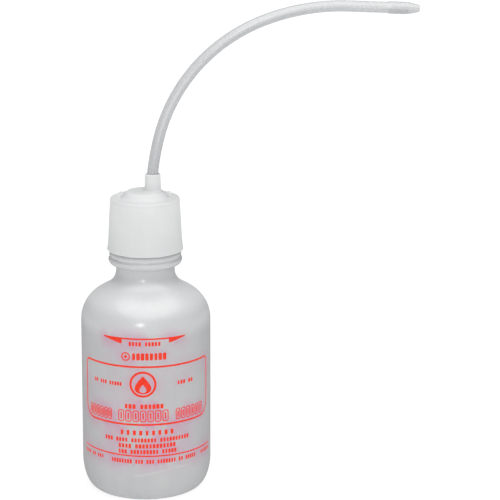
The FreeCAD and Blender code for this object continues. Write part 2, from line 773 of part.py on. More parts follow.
# ---------------------------------------------------------------------------
# Checks, then one STEP file for each piece
# ---------------------------------------------------------------------------
doc.recompute()
print("tip starts at", round(tip_x, 2), round(tip_z, 2), "heading", round(tip_deg, 2))
print("tip formula   ", round(num(EX), 2), round(num(EZ), 2), round(num(TURN), 2))
print("outlet at", [round(num(v), 2) for v in tip("tip_length", "0")])
print("dip end", round(dip_x, 2), round(dip_z, 2), "heading", round(dip_deg, 2))
print("neck radius", round(num(NR), 3), "at", round(num(NZ), 2))
for obj in doc.Objects:
    bad = [s for s in obj.State if s in ("Invalid", "Error")]
    if bad:
        raise RuntimeError("%s is %s" % (obj.Name, bad))
parts = [bottle, cap, liner, spout, sleeve, screens, dip]
for body in parts:
    shape = body.Shape
    if shape.isNull() or not shape.isValid() or not shape.Solids:
        raise RuntimeError(body.Label + " has no valid solid")
    box = shape.BoundBox
    print(
        "%-17s solids %d faces %3d volume %9.1f  x %.1f..%.1f y %.1f..%.1f z %.1f..%.1f"
        % (
            body.Label,
            len(shape.Solids),
            len(shape.Faces),
            shape.Volume,
            box.XMin,
            box.XMax,
            box.YMin,
            box.YMax,
            box.ZMin,
            box.ZMax,
        )
    )
print("one screen", round(one_screen, 2), "both", round(screens.Shape.Volume, 2))
os.makedirs("parts", exist_ok=True)
for body in parts:
    body.Shape.exportStep("parts/%s.step" % body.Label)
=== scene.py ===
import math

import bmesh
import bpy
import numpy as np
from mathutils import Matrix, Vector


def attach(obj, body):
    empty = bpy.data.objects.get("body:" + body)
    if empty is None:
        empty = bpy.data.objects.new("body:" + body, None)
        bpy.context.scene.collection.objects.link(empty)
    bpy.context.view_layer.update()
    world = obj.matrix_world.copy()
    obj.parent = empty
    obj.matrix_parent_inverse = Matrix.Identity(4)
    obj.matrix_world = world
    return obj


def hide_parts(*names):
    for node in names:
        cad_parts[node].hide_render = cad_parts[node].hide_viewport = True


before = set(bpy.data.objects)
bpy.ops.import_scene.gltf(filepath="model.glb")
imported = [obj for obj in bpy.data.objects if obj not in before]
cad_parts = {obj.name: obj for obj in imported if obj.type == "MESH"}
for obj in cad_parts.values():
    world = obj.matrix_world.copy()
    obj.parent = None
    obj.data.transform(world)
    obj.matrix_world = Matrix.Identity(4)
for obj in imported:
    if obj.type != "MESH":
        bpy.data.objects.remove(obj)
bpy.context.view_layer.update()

MM = 0.001
TAU = 2 * math.pi
scene = bpy.context.scene


# ---------------------------------------------------------------------------
# Profiles: lists of (radius, height) points in mm
# ---------------------------------------------------------------------------
def arc(cx, cz, rx, a0, a1, n, rz=None):
    rz = rx if rz is None else rz
    return [
        (
            cx + rx * math.cos(math.radians(a0 + (a1 - a0) * i / n)),
            cz + rz * math.sin(math.radians(a0 + (a1 - a0) * i / n)),
        )
        for i in range(n + 1)
    ]


def tidy(points):
    out = []
    for p in points:
        if not out or math.dist(out[-1], p) > 1e-4:
            out.append(tuple(p))
    return out


def soften(points, radius, least=16.0, n=4, keep=()):
    """Round every corner of a polyline that turns by more than `least` degrees."""
    points = tidy(points)
    out = [points[0]]
    for a, b, c in zip(points, points[1:], points[2:]):
        u = np.subtract(a, b)
        v = np.subtract(c, b)
        lu, lv = np.linalg.norm(u), np.linalg.norm(v)
        u, v = u / lu, v / lv
        turn = math.degrees(math.acos(max(-1, min(1, -float(u @ v)))))
        if turn < least or b in keep:
            out.append(b)
            continue
        cut = min(radius * math.tan(math.radians(turn) / 2), 0.42 * lu, 0.42 * lv)
        p, q = np.add(b, u * cut), np.add(b, v * cut)
        for i in range(n + 1):
            t = i / n
            out.append(tuple((1 - t) ** 2 * p + 2 * t * (1 - t) * np.array(b) + t * t * q))
    out.append(points[-1])
    return tidy(out)


def refine(points, step, low=-1e9, high=1e9):
    """Add rows so that no stretch between two heights is longer than `step`."""
    out = [points[0]]
    for a, b in zip(points, points[1:]):
        length = math.dist(a, b)
        inside = low <= min(a[1], b[1]) and max(a[1], b[1]) <= high
        n = max(1, math.ceil(length / step)) if inside else 1
        for i in range(1, n + 1):
            out.append((a[0] + (b[0] - a[0]) * i / n, a[1] + (b[1] - a[1]) * i / n))
    return out


# ---------------------------------------------------------------------------
# Meshes
# ---------------------------------------------------------------------------
def piece(name, verts, faces, material, body, sharp=32.0, attributes=None):
    """A smooth shaded mesh from vertices in mm, riding on a body of the frame."""
    mesh = bpy.data.meshes.new(name)
    mesh.from_pydata((np.asarray(verts, float) * MM).tolist(), [], faces)
    for key, values in (attributes or {}).items():
        layer = mesh.attributes.new(key, "FLOAT", "POINT")
        layer.data.foreach_set("value", np.asarray(values, np.float32))
    bm = bmesh.new()
    bm.from_mesh(mesh)
    bmesh.ops.recalc_face_normals(bm, faces=bm.faces[:])
    bm.to_mesh(mesh)
    bm.free()
    mesh.validate()
    mesh.polygons.foreach_set("use_smooth", [True] * len(mesh.polygons))
    mesh.set_sharp_from_angle(angle=math.radians(sharp))
    mesh.materials.append(material)
    ob = bpy.data.objects.new(name, mesh)
    scene.collection.objects.link(ob)
    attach(ob, body)
    return ob


def rings(count, rows, closed_rows):
    """Quads between consecutive rings of `count` vertices each."""
    faces = []
    last = rows if closed_rows else rows - 1
    for i in range(last):
        a, b = i * count, ((i + 1) % rows) * count
        for j in range(count):
            k = (j + 1) % count
            faces.append((a + j, a + k, b + k, b + j))
    return faces


def columns(n, extra=()):
    """Angles round the axis, evenly spaced plus a few extra ones."""
    angles = [TAU * i / n for i in range(n)]
    for e in extra:
        e %= TAU
        angles = [a for a in angles if abs((a - e + math.pi) % TAU - math.pi) > 0.35 * TAU / n] + [e]
    # keep extras that crowd each other
    return np.array(sorted(set(round(a, 6) for a in angles) | set(round(e % TAU, 6) for e in extra)))


def smooth(x):
    x = np.clip(x, 0, 1)
    return x * x * (3 - 2 * x)


def helix_height(theta, z, start, pitch, turns, root, tip, fade=0.10):
    """0..1 height of a helical ridge, right-hand, with run-outs at both ends."""
    total = np.zeros_like(theta + z)
    for k in range(int(turns) + 2):
        along = theta / TAU + k
        off = np.abs(z - (start + pitch * along))
        ridge = np.clip((root - off) / (root - tip), 0, 1)
        ends = smooth(along / fade) * smooth((turns - along) / fade)
        total = np.maximum(total, ridge * np.where((along >= 0) & (along <= turns), ends, 0))
    return total


# ---------------------------------------------------------------------------
# Node helpers
# ---------------------------------------------------------------------------
def new_material(name):
    mat = bpy.data.materials.new(name)
    mat.use_nodes = True
    nt = mat.node_tree
    nt.nodes.clear()
    out = nt.nodes.new("ShaderNodeOutputMaterial")
    out.location = (900, 0)
    return mat, nt, out


def add(nt, kind, **props):
    node = nt.nodes.new(kind)
    for k, v in props.items():
        setattr(node, k, v)
    return node


def link(nt, a, b):
    nt.links.new(a, b)


def coords(nt, scale=(1, 1, 1)):
    """Object coordinates in mm, stretched by `scale`."""
    tc = add(nt, "ShaderNodeTexCoord")
    mp = add(nt, "ShaderNodeMapping")
    mp.inputs["Scale"].default_value = tuple(1000 * s for s in scale)
    link(nt, tc.outputs["Object"], mp.inputs["Vector"])
    return mp.outputs["Vector"]


def noise(nt, vector, scale, detail=3.0, rough=0.55, distort=0.0):
    n = add(nt, "ShaderNodeTexNoise")
    n.inputs["Scale"].default_value = scale
    n.inputs["Detail"].default_value = detail
    n.inputs["Roughness"].default_value = rough
    n.inputs["Distortion"].default_value = distort
    link(nt, vector, n.inputs["Vector"])
    return n.outputs["Fac"]


def spread(nt, value, lo, hi, to_lo, to_hi):
    m = add(nt, "ShaderNodeMapRange")
    m.inputs["From Min"].default_value = lo
    m.inputs["From Max"].default_value = hi
    m.inputs["To Min"].default_value = to_lo
    m.inputs["To Max"].default_value = to_hi
    link(nt, value, m.inputs["Value"])
    return m.outputs["Result"]


def mix(nt, fac, a, b):
    """Colour mix; each input is a colour tuple or a socket."""
    m = add(nt, "ShaderNodeMix", data_type="RGBA")
    for socket, value in ((m.inputs[0], fac), (m.inputs[6], a), (m.inputs[7], b)):
        if hasattr(value, "is_output"):
            link(nt, value, socket)
        else:
            socket.default_value = value if not isinstance(value, tuple) else (*value, 1)
    return m.outputs[2]


def math_node(nt, op, a, b=None):
    m = add(nt, "ShaderNodeMath", operation=op)
    for socket, value in ((m.inputs[0], a), (m.inputs[1], b)):
        if value is None:
            continue
        if hasattr(value, "is_output"):
            link(nt, value, socket)
        else:
            socket.default_value = value
    return m.outputs[0]


def bump(nt, height, strength, distance, normal=None):
    b = add(nt, "ShaderNodeBump")
    b.inputs["Strength"].default_value = strength
    b.inputs["Distance"].default_value = distance
    link(nt, height, b.inputs["Height"])
    if normal is not None:
        link(nt, normal, b.inputs["Normal"])
    return b.outputs["Normal"]


# ---------------------------------------------------------------------------
# Materials
# ---------------------------------------------------------------------------
def bottle_material():
    """Natural low-density polyethylene: milky, softly glossy, faintly uneven."""
    mat, nt, out = new_material("ldpe_milky")
    v = coords(nt)
    cloud = noise(nt, v, 0.035, 3, 0.6)
    fine = noise(nt, v, 0.9, 4, 0.6)
    tall = noise(nt, coords(nt, (1, 1, 0.05)), 0.22, 3, 0.5)
    mottle = noise(nt, v, 0.55, 3, 0.7)
    patch = noise(nt, v, 0.055, 4, 0.62)
    haze = add(nt, "ShaderNodeAttribute", attribute_name="print_glow_mask").outputs["Fac"]
    base = mix(nt, spread(nt, cloud, 0.35, 0.65, 0, 1), (0.703, 0.708, 0.717), (0.763, 0.768, 0.772))
    base = mix(nt, spread(nt, tall, 0.35, 0.65, 0, 0.22), base, (0.82, 0.825, 0.83))
    # painted light: the shoulder and neck above about z 100 mm, and the fold line of the buckle, are made lighter to
    # stand in for light falling from above
    painted_light = add(nt, "ShaderNodeAttribute", attribute_name="painted_light").outputs["Fac"]
    base = mix(nt, math_node(nt, "MULTIPLY", painted_light, 0.85), base, (0.965, 0.975, 0.977))
    base = mix(nt, spread(nt, mottle, 0.35, 0.65, 0, 0.10), base, (0.60, 0.61, 0.62))
    # painted glow: pink colour spread round the print stands in for red light scattered in the milky wall near the
    # ink
    print_glow = math_node(nt, "MULTIPLY", haze, spread(nt, patch, 0.40, 0.60, 0.25, 3.2))
    print_glow = spread(nt, print_glow, 0.0, 1.0, 0.0, 1.0)
    base = mix(nt, print_glow, base, (0.80, 0.50, 0.65))
    rough = spread(nt, fine, 0.3, 0.7, 0.18, 0.22)
    n = bump(nt, noise(nt, v, 0.13, 3, 0.5), 0.34, 0.0003)
    n = bump(nt, tall, 0.25, 0.0002, n)
    n = bump(nt, fine, 0.15, 0.000025, n)
    p = add(nt, "ShaderNodeBsdfPrincipled")
    link(nt, base, p.inputs["Base Color"])
    p.inputs["IOR"].default_value = 1.5
    p.inputs["Specular IOR Level"].default_value = 0.0
    p.inputs["Transmission Weight"].default_value = 0.12
    p.inputs["Roughness"].default_value = 0.30
    # light that leaves at a low angle has crossed more of the milky wall
    p.inputs["Coat Weight"].default_value = 1.0
    p.inputs["Coat IOR"].default_value = 1.02
    p.inputs["Coat Roughness"].default_value = 0.3
    # painted light: the shoulder band gets less coat tint, so its sides stay lighter as if lit from above
    edge = add(nt, "ShaderNodeAttribute", attribute_name="edge").outputs["Fac"]
    link(nt, mix(nt, edge, (0.91, 0.91, 0.913), (0.985, 0.985, 0.985)), p.inputs["Coat Tint"])
    link(nt, n, p.inputs["Normal"])
    t = add(nt, "ShaderNodeBsdfTranslucent")
    link(nt, base, t.inputs["Color"])
    link(nt, n, t.inputs["Normal"])
    body = add(nt, "ShaderNodeMixShader")
    body.inputs[0].default_value = 0.16
    link(nt, p.outputs[0], body.inputs[1])
    link(nt, t.outputs[0], body.inputs[2])
    # surface gloss over the milky wall: a narrow lobe and a broad soft one
    last = body.outputs[0]
    for weight, lobe in ((0.044, rough), (0.036, spread(nt, fine, 0.3, 0.7, 0.42, 0.50))):
        g = add(nt, "ShaderNodeBsdfAnisotropic")
        g.inputs["Color"].default_value = (1, 1, 1, 1)
        link(nt, lobe, g.inputs["Roughness"])
        link(nt, n, g.inputs["Normal"])
        m = add(nt, "ShaderNodeMixShader")
        m.inputs[0].default_value = weight
        link(nt, last, m.inputs[1])
        link(nt, g.outputs[0], m.inputs[2])
        last = m.outputs[0]
    link(nt, last, out.inputs["Surface"])
    return mat


def cap_material():
    """Opaque white polyethylene, satin, with faint flow marks from the gate."""
    mat, nt, out = new_material("cap_white")
    v = coords(nt)
    cloud = noise(nt, v, 0.07, 3, 0.55)
    flow = noise(nt, coords(nt, (1, 1, 0.10)), 0.5, 3, 0.5)
    fine = noise(nt, v, 2.2, 4, 0.6)
    base = mix(nt, spread(nt, cloud, 0.35, 0.65, 0, 1), (0.825, 0.833, 0.831), (0.85, 0.854, 0.852))
    base = mix(nt, spread(nt, flow, 0.40, 0.70, 0, 0.25), base, (0.785, 0.80, 0.80))
    # painted shade: darker towards the bottom of the cap, and a little darker on the deck, raised disc and fillet
    # where the light from above falls strongest
    low = add(nt, "ShaderNodeAttribute", attribute_name="low").outputs["Fac"]
    base = mix(nt, low, base, (0.66, 0.685, 0.68))
    p = add(nt, "ShaderNodeBsdfPrincipled")
    link(nt, base, p.inputs["Base Color"])
    p.inputs["IOR"].default_value = 1.5
    p.inputs["Specular IOR Level"].default_value = 0.18
    p.inputs["Coat Weight"].default_value = 1.0
    p.inputs["Coat IOR"].default_value = 1.02
    p.inputs["Coat Roughness"].default_value = 0.4
    link(nt, mix(nt, math_node(nt, "MULTIPLY", low, 2.8), (0.99, 0.99, 0.99), (0.958, 0.962, 0.962)), p.inputs["Coat Tint"])
    p.inputs["Subsurface Weight"].default_value = 0.25
    p.inputs["Subsurface Radius"].default_value = (1.0, 0.9, 0.8)
    p.inputs["Subsurface Scale"].default_value = 0.0012
    link(nt, spread(nt, fine, 0.3, 0.7, 0.36, 0.46), p.inputs["Roughness"])
    n = bump(nt, flow, 0.20, 0.00008)
    n = bump(nt, fine, 0.22, 0.000025, n)
    link(nt, n, p.inputs["Normal"])
    link(nt, p.outputs[0], out.inputs["Surface"])
    return mat


def tube_material():
    """Clear-milky polyethylene tubing with lengthwise die lines."""
    mat, nt, out = new_material("tubing_clear")
    around = add(nt, "ShaderNodeAttribute", attribute_name="around").outputs["Fac"]
    along = add(nt, "ShaderNodeAttribute", attribute_name="along").outputs["Fac"]
    # a ring in noise space has no seam where the angle closes
    c = add(nt, "ShaderNodeCombineXYZ")
    link(nt, math_node(nt, "COSINE", around), c.inputs[0])
    link(nt, math_node(nt, "SINE", around), c.inputs[1])
    link(nt, math_node(nt, "MULTIPLY", along, 0.004), c.inputs[2])
    lines = noise(nt, c.outputs[0], 3.2, 3, 0.5)
    broad = noise(nt, c.outputs[0], 1.3, 2, 0.5)
    fine = noise(nt, coords(nt), 0.8, 2, 0.5)
    base = mix(nt, spread(nt, broad, 0.35, 0.65, 0, 1), (0.71, 0.725, 0.74), (0.82, 0.83, 0.835))
    base = mix(nt, spread(nt, lines, 0.42, 0.66, 0, 0.75), base, (0.92, 0.925, 0.925))
    # painted light and shade: the outer side of the arch is made lighter as if lit from above, the inner side
    # darker, and the part near the cap darker where less light reaches
    across = math_node(nt, "COSINE", around)
    side = spread(nt, across, -0.34, 0.30, 0, 1)
    far = spread(nt, along, 45, 105, 0, 1)
    clear = math_node(nt, "MULTIPLY", far, side)
    painted_under_shade = math_node(nt, "MULTIPLY", far, math_node(nt, "SUBTRACT", 1.0, side))
    base = mix(nt, math_node(nt, "MULTIPLY", clear, 0.8), base, (0.965, 0.97, 0.97))
    base = mix(nt, math_node(nt, "MULTIPLY", painted_under_shade, spread(nt, along, 150, 195, 0.55, 0.1)), base, (0.61, 0.63, 0.64))
    base = mix(nt, spread(nt, along, 15, 50, 0.45, 0.0), base, (0.55, 0.565, 0.585))
    # a painted highlight streak runs up the middle of the tube and opens into the painted lighter outer side
    line = spread(nt, math_node(nt, "ABSOLUTE", math_node(nt, "ADD", across, 0.06)), 0.04, 0.22, 1, 0)
    line = math_node(nt, "MULTIPLY", line, spread(nt, along, 24, 84, 0.12, 0.62))
    line = math_node(nt, "MULTIPLY", line, spread(nt, along, 96, 122, 1.0, 0.25))
    base = mix(nt, line, base, (0.97, 0.975, 0.975))
    # painted shade: the very outside of the arch is a little greyer again
    arch_edge_shade = math_node(nt, "MULTIPLY", far, spread(nt, across, 0.50, 0.74, 0, 0.32))
    base = mix(nt, arch_edge_shade, base, (0.72, 0.73, 0.735))
    # the steel sleeve inside the tip is real; its darkening is painted on the under side of the tip only, as painted
    # shade, while the upper side is left light as if lit from above
    sleeve = math_node(nt, "MULTIPLY", spread(nt, along, 205.8, 207.2, 0, 1), spread(nt, along, 217.6, 219.0, 1, 0))
    under = spread(nt, math_node(nt, "COSINE", around), -0.25, 0.15, 0.42, 0)
    base = mix(nt, math_node(nt, "MULTIPLY", sleeve, under), base, (0.47, 0.485, 0.49))
    n = bump(nt, lines, 0.07, 0.0001)
    n = bump(nt, fine, 0.08, 0.00001, n)
    p = add(nt, "ShaderNodeBsdfPrincipled")
    link(nt, base, p.inputs["Base Color"])
    p.inputs["IOR"].default_value = 1.45
    p.inputs["Specular IOR Level"].default_value = 0.25
    p.inputs["Transmission Weight"].default_value = 0.06
    link(nt, spread(nt, fine, 0.3, 0.7, 0.24, 0.32), p.inputs["Roughness"])
    p.inputs["Coat Weight"].default_value = 1.0
    p.inputs["Coat IOR"].default_value = 1.02
    p.inputs["Coat Roughness"].default_value = 0.3
    p.inputs["Coat Tint"].default_value = (0.95, 0.952, 0.955, 1)
    link(nt, n, p.inputs["Normal"])
    t = add(nt, "ShaderNodeBsdfTranslucent")
    link(nt, base, t.inputs["Color"])
    link(nt, n, t.inputs["Normal"])
    m = add(nt, "ShaderNodeMixShader")
    m.inputs[0].default_value = 0.20
    link(nt, p.outputs[0], m.inputs[1])
    link(nt, t.outputs[0], m.inputs[2])
    g = add(nt, "ShaderNodeBsdfAnisotropic")
    g.inputs["Color"].default_value = (1, 1, 1, 1)
    link(nt, spread(nt, fine, 0.3, 0.7, 0.22, 0.28), g.inputs["Roughness"])
    link(nt, n, g.inputs["Normal"])
    top = add(nt, "ShaderNodeMixShader")
    top.inputs[0].default_value = 0.05
    link(nt, m.outputs[0], top.inputs[1])
    link(nt, g.outputs[0], top.inputs[2])
    link(nt, top.outputs[0], out.inputs["Surface"])
    return mat


def ink_material():
    """Screen-printed red ink, slightly uneven in cover, satin."""
    mat, nt, out = new_material("ink_red")
    v = coords(nt)
    wear = noise(nt, v, 0.55, 4, 0.65)
    fine = noise(nt, v, 3.0, 3, 0.6)
    base = mix(nt, spread(nt, wear, 0.35, 0.75, 0, 1), (0.92, 0.032, 0.010), (0.96, 0.070, 0.034))
    p = add(nt, "ShaderNodeBsdfPrincipled")
    link(nt, base, p.inputs["Base Color"])
    p.inputs["Specular IOR Level"].default_value = 0.2
    link(nt, spread(nt, fine, 0.3, 0.7, 0.30, 0.45), p.inputs["Roughness"])
    link(nt, bump(nt, fine, 0.25, 0.00002), p.inputs["Normal"])
    link(nt, p.outputs[0], out.inputs["Surface"])
    return mat


def steel_material():
    """Drawn stainless steel with fine circumferential scratches."""
    mat, nt, out = new_material("steel_drawn")
    v = coords(nt, (6.0, 1, 1))
    scratch = noise(nt, v, 1.3, 4, 0.65)
    fine = noise(nt, coords(nt), 3.0, 3, 0.6)
    base = mix(nt, spread(nt, fine, 0.3, 0.7, 0, 1), (0.30, 0.31, 0.32), (0.42, 0.43, 0.44))
    p = add(nt, "ShaderNodeBsdfPrincipled")
    link(nt, base, p.inputs["Base Color"])
    p.inputs["Metallic"].default_value = 1.0
    link(nt, spread(nt, scratch, 0.3, 0.7, 0.26, 0.48), p.inputs["Roughness"])
    link(nt, bump(nt, scratch, 0.3, 0.00002), p.inputs["Normal"])
    link(nt, p.outputs[0], out.inputs["Surface"])
    return mat


def foam_material():
    """Closed-cell polyethylene foam of the sealing ring."""
    mat, nt, out = new_material("liner_foam")
    v = coords(nt)
    cells = add(nt, "ShaderNodeTexVoronoi")
    cells.inputs["Scale"].default_value = 2.6
    link(nt, v, cells.inputs["Vector"])
    cloud = noise(nt, v, 0.3, 3, 0.6)
    base = mix(nt, spread(nt, cloud, 0.35, 0.65, 0, 1), (0.78, 0.77, 0.73), (0.86, 0.85, 0.82))
    base = mix(nt, spread(nt, cells.outputs["Distance"], 0.0, 0.6, 0.35, 0), base, (0.62, 0.61, 0.57))
    p = add(nt, "ShaderNodeBsdfPrincipled")
    link(nt, base, p.inputs["Base Color"])
    link(nt, spread(nt, cloud, 0.3, 0.7, 0.62, 0.78), p.inputs["Roughness"])
    link(nt, bump(nt, cells.outputs["Distance"], 0.5, 0.00006), p.inputs["Normal"])
    link(nt, p.outputs[0], out.inputs["Surface"])
    return mat


M_BOTTLE, M_CAP, M_TUBE = bottle_material(), cap_material(), tube_material()
M_INK, M_STEEL, M_FOAM = ink_material(), steel_material(), foam_material()


# ---------------------------------------------------------------------------
# Bottle wall: outer surface with slight waviness and mould parting lines
# ---------------------------------------------------------------------------
WALL = 39.5 - 0.085


def waviness(theta, z):
    """Low swells of the blown wall, in mm, never more than 0.06 either way."""
    z = np.asarray(z, float)
    w = (
        0.022 * np.sin(2 * theta + 0.6 + z * 0.031)
        + 0.014 * np.sin(3 * theta - 1.1 - z * 0.047)
        + 0.012 * np.sin(5 * theta + 2.0 + z * 0.062)
        + 0.009 * np.sin(z * 0.11 + 1.7 * np.sin(theta + 0.4))
    )
    return w * smooth((z - 6) / 20) * smooth((134 - z) / 22)


def seam(theta, radius):
    """Height 0..1 of the parting lines at +X and -X."""
    off = np.minimum(np.abs((theta + math.pi) % TAU - math.pi), np.abs(theta % TAU - math.pi)) * radius
    return np.exp(-((off / 0.20) ** 2))


def wall_radius(theta, z):
    """Outer radius of the straight wall at an angle from +X and a height, both as arrays."""
    return WALL + waviness(theta, z)


def above_fold(s, z):
    """Height above the fold line of the buckle."""
    return z - np.interp(s, (-9.5, -5.75, 4.5, 16.25, 27.75), (18.7, 17.7, 19.8, 21.9, 21.7))


def fold_highlight(theta, z):
    """0..1 painted highlight along the fold line of the buckle."""
    s = ((theta + math.pi / 2 + math.pi) % TAU - math.pi) * 39.5
    return np.exp(-((above_fold(s, z) / 0.62) ** 2)) * smooth((s + 10) / 4) * smooth((29 - s) / 6)


def crease(theta, z):
    """Depth in mm of a shallow buckle low on the front of the wall."""
    s = ((theta + math.pi / 2 + math.pi) % TAU - math.pi) * 39.5
    above = above_fold(s, z)
    depth = 0.26 * smooth((above + 0.45) / 0.9) * np.exp(-np.maximum(above, 0) / 2.6)
    depth = depth * smooth((s + 11) / 5) * smooth((29 - s) / 8)
    for s0, z0, s1, z1, deep in ((-13.25, 26.0, -11.2, 19.2, 0.22), (1.0, 27.0, 3.75, 22.4, 0.20)):
        t = np.clip(((s - s0) * (s1 - s0) + (z - z0) * (z1 - z0)) / ((s1 - s0) ** 2 + (z1 - z0) ** 2), 0, 1)
        away = np.hypot(s - s0 - t * (s1 - s0), z - z0 - t * (z1 - z0))
        depth = depth + deep * np.exp(-((away / 0.8) ** 2))
    return depth * smooth((25.9 - z) / 1.6)


outer = (
    arc(0, 2.6 - 112.07, 112.07, 90, 90 - math.degrees(math.asin(24 / 112.07)), 12)
    + [(24.0, 0.0)]
    + [(27.5, 0.0)]
    + arc(31.1, 18.4, 8.4 - 0.085, -90, 0, 22, 18.4)
    + [(WALL, 105.9)]
    + arc(17.9 - 0.085, 105.9, 21.6, 0, 60.2, 26)
    + arc(28.951 - 0.06, 137.369, 11.2, 240.2, 180, 20)
    + [(17.70, 138.2), (17.70, 140.35)]
    + arc(18.695, 143.977, 3.68, -100, -9, 14)
    + [(22.33, 143.45), (22.33, 143.7)]
    + arc(21.34, 143.7, 0.99, 0, 84, 8)
    + [(21.28, 144.72), (21.20, 144.95), (21.24, 145.25), (21.48, 145.55), (21.72, 146.0), (21.78, 146.6)]
    + [(21.78, 147.5), (21.64, 148.05), (21.30, 148.58), (20.80, 148.92), (20.24, 149.10), (20.18, 149.5), (20.18, 151.98), (17.55, 152.0), (17.55, 178.0), (17.15, 178.4), (16.1, 178.4)]
)
outer[0] = (0.0, 2.6)
inner = (
    [(16.1, 178.4), (16.1, 143.5), (16.65, 137.37)]
    + arc(28.951, 137.369, 12.3, 180, 240.2, 16)
    + arc(17.9 - 0.1, 105.9, 20.6, 60.2, 0, 18)
    + arc(31.1, 18.4, 7.3, 0, -90, 16, 17.1)
    + [(24.0, 1.3)]
    + arc(0, 3.9 - 112.07, 112.07, 90 - math.degrees(math.asin(23.6 / 112.07)), 90, 10)
)
inner[-1] = (0.0, 3.9)


def bottle_mesh():
    top = soften(outer, 0.22)
    top = refine(refine(top, 1.25, 0, 132), 0.5, 13, 30)
    top = refine(top, 0.6, 132, 148.3)
    top = refine(refine(top, 2.0, 148, 179), 0.25, 164.5, 176.0)
    under = refine(soften(inner, 0.3), 2.2)
    profile = top + under[1:]
    side = [0.09, 0.18, 0.28, 0.42, 0.7, 1.1]
    extra = [0.0, math.pi]
    for d in side:
        for base in (0.0, math.pi):
            extra += [base + d / 39.5, base - d / 39.5]
    theta = columns(176, extra)
    n = len(theta)
    verts, haze_at = [(0.0, 0.0, profile[0][1])], [(0.0, 0.0)]
    outer_rows = len(top)
    for i, (r, z) in enumerate(profile[1:-1], start=1):
        rr = np.full(n, float(r))
        rr += waviness(theta, z) * min(1.0, r / 39.4) ** 4
        if i < outer_rows - 1:
            if 2.0 < z < 147.0 and r > 17:
                fade = float(smooth((r - 30) / 6)) if z < 10 else 1.0
                rr += 0.030 * seam(theta, r) * fade
            if 5 < z < 60:
                rr -= crease(theta, z)
            if 164 < z < 176:
                rr += 1.3 * helix_height(theta, np.full(n, z), 167.3, 4.2333, 1.5, 1.0, 0.45)
        zz = np.full(n, float(z))
        if i < outer_rows and z < 2.7 and r < 24.2:
            # pinch-off line across the push-up, along the parting plane
            across = np.abs(np.sin(theta)) * r
            zz -= 0.45 * np.exp(-((across / 0.55) ** 2)) * float(smooth((22.5 - r) / 3))
        verts.extend(zip(rr * np.cos(theta), rr * np.sin(theta), zz))
    verts.append((0.0, 0.0, profile[-1][1]))
    rows = len(profile) - 2
    faces = [tuple(v + 1 for v in f) for f in rings(n, rows, False)]
    for j in range(n):
        k = (j + 1) % n
        faces.append((0, 1 + k, 1 + j))
        base = 1 + (rows - 1) * n
        faces.append((base + j, base + k, len(verts) - 1))
    return np.array(verts), faces


# ---------------------------------------------------------------------------
# Print on the wall, laid out flat: s along the wall from the front, z up, in mm
# ---------------------------------------------------------------------------
shapes = []  # outlines of filled shapes
bands = []  # (left points, right points) of strips


def block(s0, s1, z0, z1, r=0.35):
    r = min(r, 0.49 * (s1 - s0), 0.49 * (z1 - z0))
    pts = []
    for cx, cz, a in ((s1 - r, z1 - r, 0), (s0 + r, z1 - r, 90), (s0 + r, z0 + r, 180), (s1 - r, z0 + r, 270)):
        for i in range(4):
            t = math.radians(a + 30 * i)
            pts.append((cx + r * math.cos(t), cz + r * math.sin(t)))
    shapes.append(pts)


def stroke(path, width, closed=False):
    """A band of even width along a path."""
    path = [np.array(p, float) for p in path]
    n = len(path)
    left, right = [], []
    for i, p in enumerate(path):
        a = path[(i - 1) % n] if closed or i else p
        b = path[(i + 1) % n] if closed or i < n - 1 else p
        d = (b - a) / np.linalg.norm(b - a)
        nrm = np.array([-d[1], d[0]]) * width / 2
        left.append(tuple(p + nrm))
        right.append(tuple(p - nrm))
    if closed:
        left.append(left[0])
        right.append(right[0])
    bands.append((left, right))


def frame_path(s0, s1, z0, z1, top, low, grow=0.0):
    """A closed outline with different corner radii above and below."""
    s0, s1, z0, z1 = s0 - grow, s1 + grow, z0 - grow, z1 + grow
    top, low = max(top + grow, 0.05), max(low + grow, 0.05)
    pts = []
    for cx, cz, a, r in (
        (s1 - top, z1 - top, 0, top),
        (s0 + top, z1 - top, 90, top),
        (s0 + low, z0 + low, 180, low),
        (s1 - low, z0 + low, 270, low),
    ):
        for i in range(9):
            t = math.radians(a + 90 * i / 8)
            pts.append((cx + r * math.cos(t), cz + r * math.sin(t)))
    out = []
    for a, b in zip(pts, pts[1:] + pts[:1]):
        n = max(1, math.ceil(math.dist(a, b) / 2.0))
        out += [(a[0] + (b[0] - a[0]) * i / n, a[1] + (b[1] - a[1]) * i / n) for i in range(n)]
    return out


def ring(cs, cz, radius, width):
    stroke([(cs + radius * math.cos(TAU * i / 48), cz + radius * math.sin(TAU * i / 48)) for i in range(48)], width, True)


def disc(cs, cz, radius):
    shapes.append([(cs + radius * math.cos(TAU * i / 24), cz + radius * math.sin(TAU * i / 24)) for i in range(24)])


def row(s0, s1, z0, z1, words, cover=0.76, r=0.3):
    """A row of plain upright blocks in groups, standing for a line of small print."""
    gap = 0.95
    total = sum(words) + gap * (len(words) - 1)
    pitch = (s1 - s0) / (total - (1 - cover))
    s = s0
    for w, count in enumerate(words):
        for i in range(count):
            wide = pitch * cover * (1.0, 0.90, 1.0, 0.80, 0.95)[(7 * i + 3 * w + count) % 5]
            at = s + (pitch * cover - wide) / 2
            block(at, at + wide, z0, z1, r)
            s += pitch
        s += gap * pitch


def outlined(s0, s1, z0, z1, count):
    """A group of outlined upright blocks with a slot in each."""
    pitch = (s1 - s0) / (count - 0.16)
    for i in range(count):
        a = s0 + i * pitch
        b = a + 0.84 * pitch
        stroke(frame_path(a + 0.25, b - 0.25, z0 + 0.25, z1 - 0.25, 1.0, 1.0), 0.62, True)
        mid = (a + b) / 2
        block(mid - 0.42, mid + 0.42, z0 + 1.5, z1 - 1.5, 0.4)


